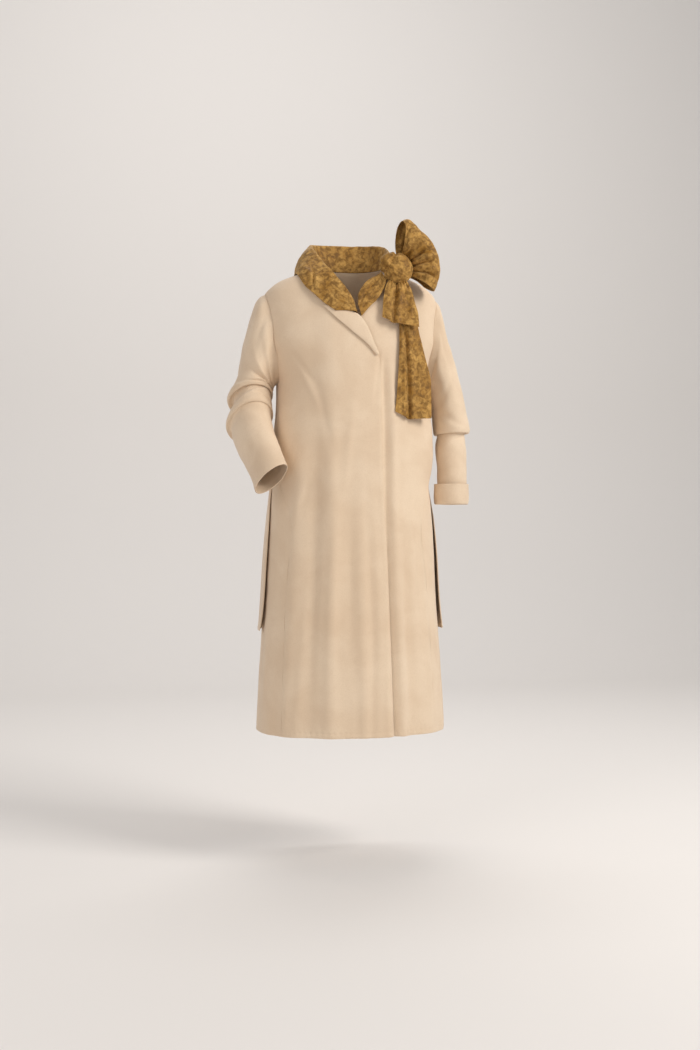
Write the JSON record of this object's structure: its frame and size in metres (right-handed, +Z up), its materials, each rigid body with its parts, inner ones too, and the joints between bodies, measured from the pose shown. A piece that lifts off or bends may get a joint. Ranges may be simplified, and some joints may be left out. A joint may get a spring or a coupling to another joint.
{
  "type": "wrap coat with scarf collar",
  "caption": "Long women's wool wrap coat with pushed-up sleeves, a layered back and a velvet scarf collar tied in a bow on the left shoulder, in its worn form",
  "frame": {"origin": "midway between the shoulders, at the height where their slope begins; the wearer holds the coat up there", "axes": "+Z up, -Y the way the coat faces, +X the wearer's left"},
  "size_m": [0.6105, 0.3375, 1.2413],
  "materials": {
    "front_right": "woven wool, matt",
    "front_left": "woven wool, matt",
    "back": "woven wool, matt",
    "back_flounce": "woven wool, matt",
    "lapel_right": "woven wool, matt",
    "sleeve_right": "woven wool, matt",
    "sleeve_left": "woven wool, matt",
    "cuff_left": "woven wool, matt",
    "collar": "crushed velvet, soft sheen",
    "collar_band_left": "crushed velvet, soft sheen",
    "knot": "crushed velvet, soft sheen",
    "bow_loop": "crushed velvet, soft sheen",
    "tail_short": "crushed velvet, soft sheen",
    "tail_long": "crushed velvet, soft sheen"
  },
  "bodies": {
    "root": {"front_right": "front_right", "front_left": "front_left", "back": "back", "back_flounce": "back_flounce", "lapel_right": "lapel_right", "sleeve_right": "sleeve_right", "sleeve_left": "sleeve_left", "cuff_left": "cuff_left", "collar": "collar", "collar_band_left": "collar_band_left", "knot": "knot", "bow_loop": "bow_loop", "tail_short": "tail_short", "tail_long": "tail_long"}
  },
  "joints": []
}
